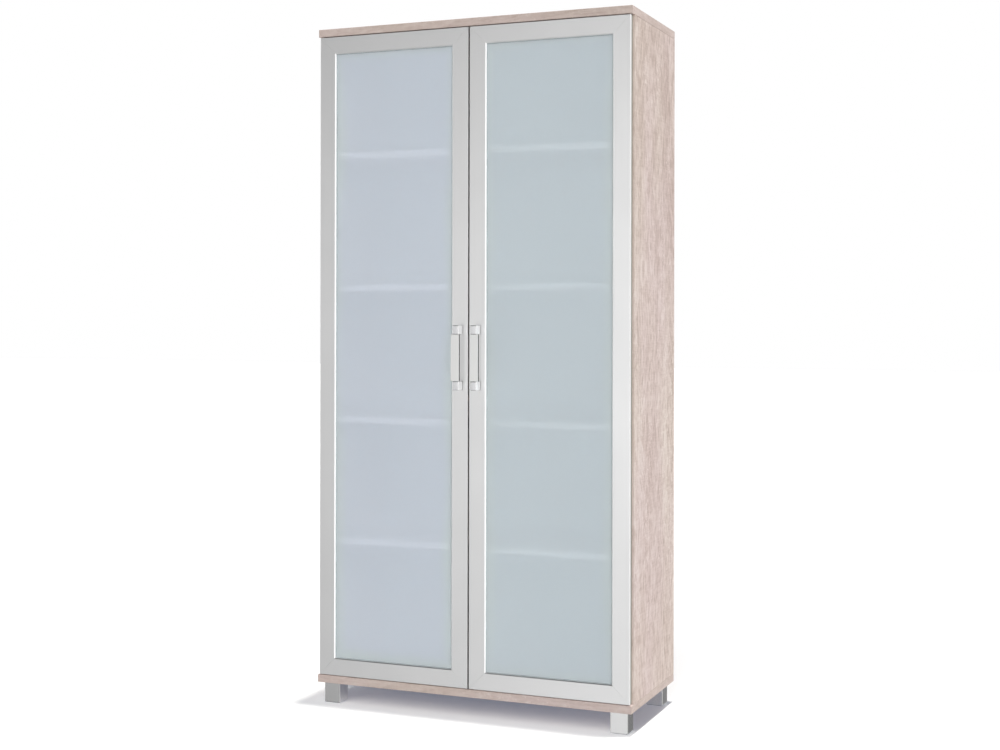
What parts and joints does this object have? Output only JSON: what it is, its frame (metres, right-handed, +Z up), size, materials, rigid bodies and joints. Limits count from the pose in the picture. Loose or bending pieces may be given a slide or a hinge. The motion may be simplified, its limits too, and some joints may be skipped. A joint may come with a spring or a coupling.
{
  "type": "glazed wall unit",
  "caption": "Tall cabinet with oak-pattern body, frosted glass doors in aluminium frames on concealed hinges, bow handles, shelves and square metal feet.",
  "frame": {"origin": "on the floor, under the middle of the whole footprint, handles included", "axes": "+Z up, the doors face -Y, +X to the right of someone facing the doors"},
  "size_m": [0.955, 0.441, 1.96],
  "materials": {
    "oak_laminate": "matt printed oak pattern, grain upright on the sides",
    "hardboard": "matt thin board",
    "satin_aluminium": "satin anodised",
    "frosted_glass": "frosted, grey-blue",
    "bright_metal": "bright plated",
    "matt_grip": "fine matt",
    "nickel_steel": "nickel plated"
  },
  "bodies": {
    "cabinet": {"top_board": "oak_laminate", "bottom_board": "oak_laminate", "side_panel_left": "oak_laminate", "side_panel_right": "oak_laminate", "back_panel": "hardboard", "shelf_1": "oak_laminate", "shelf_2": "oak_laminate", "shelf_3_fixed": "oak_laminate", "shelf_4": "oak_laminate", "shelf_1_support_front_left": "nickel_steel", "shelf_1_support_back_left": "nickel_steel", "shelf_1_support_front_right": "nickel_steel", "shelf_1_support_back_right": "nickel_steel", "shelf_2_support_front_left": "nickel_steel", "shelf_2_support_back_left": "nickel_steel", "shelf_2_support_front_right": "nickel_steel", "shelf_2_support_back_right": "nickel_steel", "shelf_4_support_front_left": "nickel_steel", "shelf_4_support_back_left": "nickel_steel", "shelf_4_support_front_right": "nickel_steel", "shelf_4_support_back_right": "nickel_steel", "foot_front_left": "satin_aluminium", "foot_front_right": "satin_aluminium", "foot_back_left": "satin_aluminium", "foot_back_right": "satin_aluminium", "left_top_hinge_arm": "nickel_steel", "left_middle_hinge_arm": "nickel_steel", "left_bottom_hinge_arm": "nickel_steel", "right_top_hinge_arm": "nickel_steel", "right_middle_hinge_arm": "nickel_steel", "right_bottom_hinge_arm": "nickel_steel"},
    "left_hinge_links": {"left_top_hinge_link": "nickel_steel", "left_middle_hinge_link": "nickel_steel", "left_bottom_hinge_link": "nickel_steel"},
    "left_door": {"left_door_hinge_stile": "satin_aluminium", "left_door_meeting_stile": "satin_aluminium", "left_door_top_rail": "satin_aluminium", "left_door_bottom_rail": "satin_aluminium", "left_door_glass": "frosted_glass", "left_handle_grip": "matt_grip", "left_handle_top_post": "bright_metal", "left_handle_bottom_post": "bright_metal", "left_top_hinge_cup": "nickel_steel", "left_middle_hinge_cup": "nickel_steel", "left_bottom_hinge_cup": "nickel_steel"},
    "right_hinge_links": {"right_top_hinge_link": "nickel_steel", "right_middle_hinge_link": "nickel_steel", "right_bottom_hinge_link": "nickel_steel"},
    "right_door": {"right_door_hinge_stile": "satin_aluminium", "right_door_meeting_stile": "satin_aluminium", "right_door_top_rail": "satin_aluminium", "right_door_bottom_rail": "satin_aluminium", "right_door_glass": "frosted_glass", "right_handle_grip": "matt_grip", "right_handle_top_post": "bright_metal", "right_handle_bottom_post": "bright_metal", "right_top_hinge_cup": "nickel_steel", "right_middle_hinge_cup": "nickel_steel", "right_bottom_hinge_cup": "nickel_steel"}
  },
  "joints": [
    {"name": "left_links_on_arms", "type": "hinge", "parent": "cabinet", "child": "left_hinge_links", "pos_m": [-0.4418, -0.177, 1.01], "axis": [0, 0, 1], "range_deg": [0, 28.5]},
    {"name": "left_door_on_links", "type": "hinge", "parent": "left_hinge_links", "child": "left_door", "pos_m": [-0.4615, -0.1735, 1.01], "axis": [0, 0, -1], "range_deg": [0, 123.5]},
    {"name": "right_links_on_arms", "type": "hinge", "parent": "cabinet", "child": "right_hinge_links", "pos_m": [0.4418, -0.177, 1.01], "axis": [0, 0, -1], "range_deg": [0, 28.5]},
    {"name": "right_door_on_links", "type": "hinge", "parent": "right_hinge_links", "child": "right_door", "pos_m": [0.4615, -0.1735, 1.01], "axis": [0, 0, 1], "range_deg": [0, 123.5]}
  ],
  "couplings": [
    {"joint": "left_links_on_arms", "follows": "left_door_on_links", "ratio": 0.23077},
    {"joint": "right_links_on_arms", "follows": "right_door_on_links", "ratio": 0.23077}
  ]
}
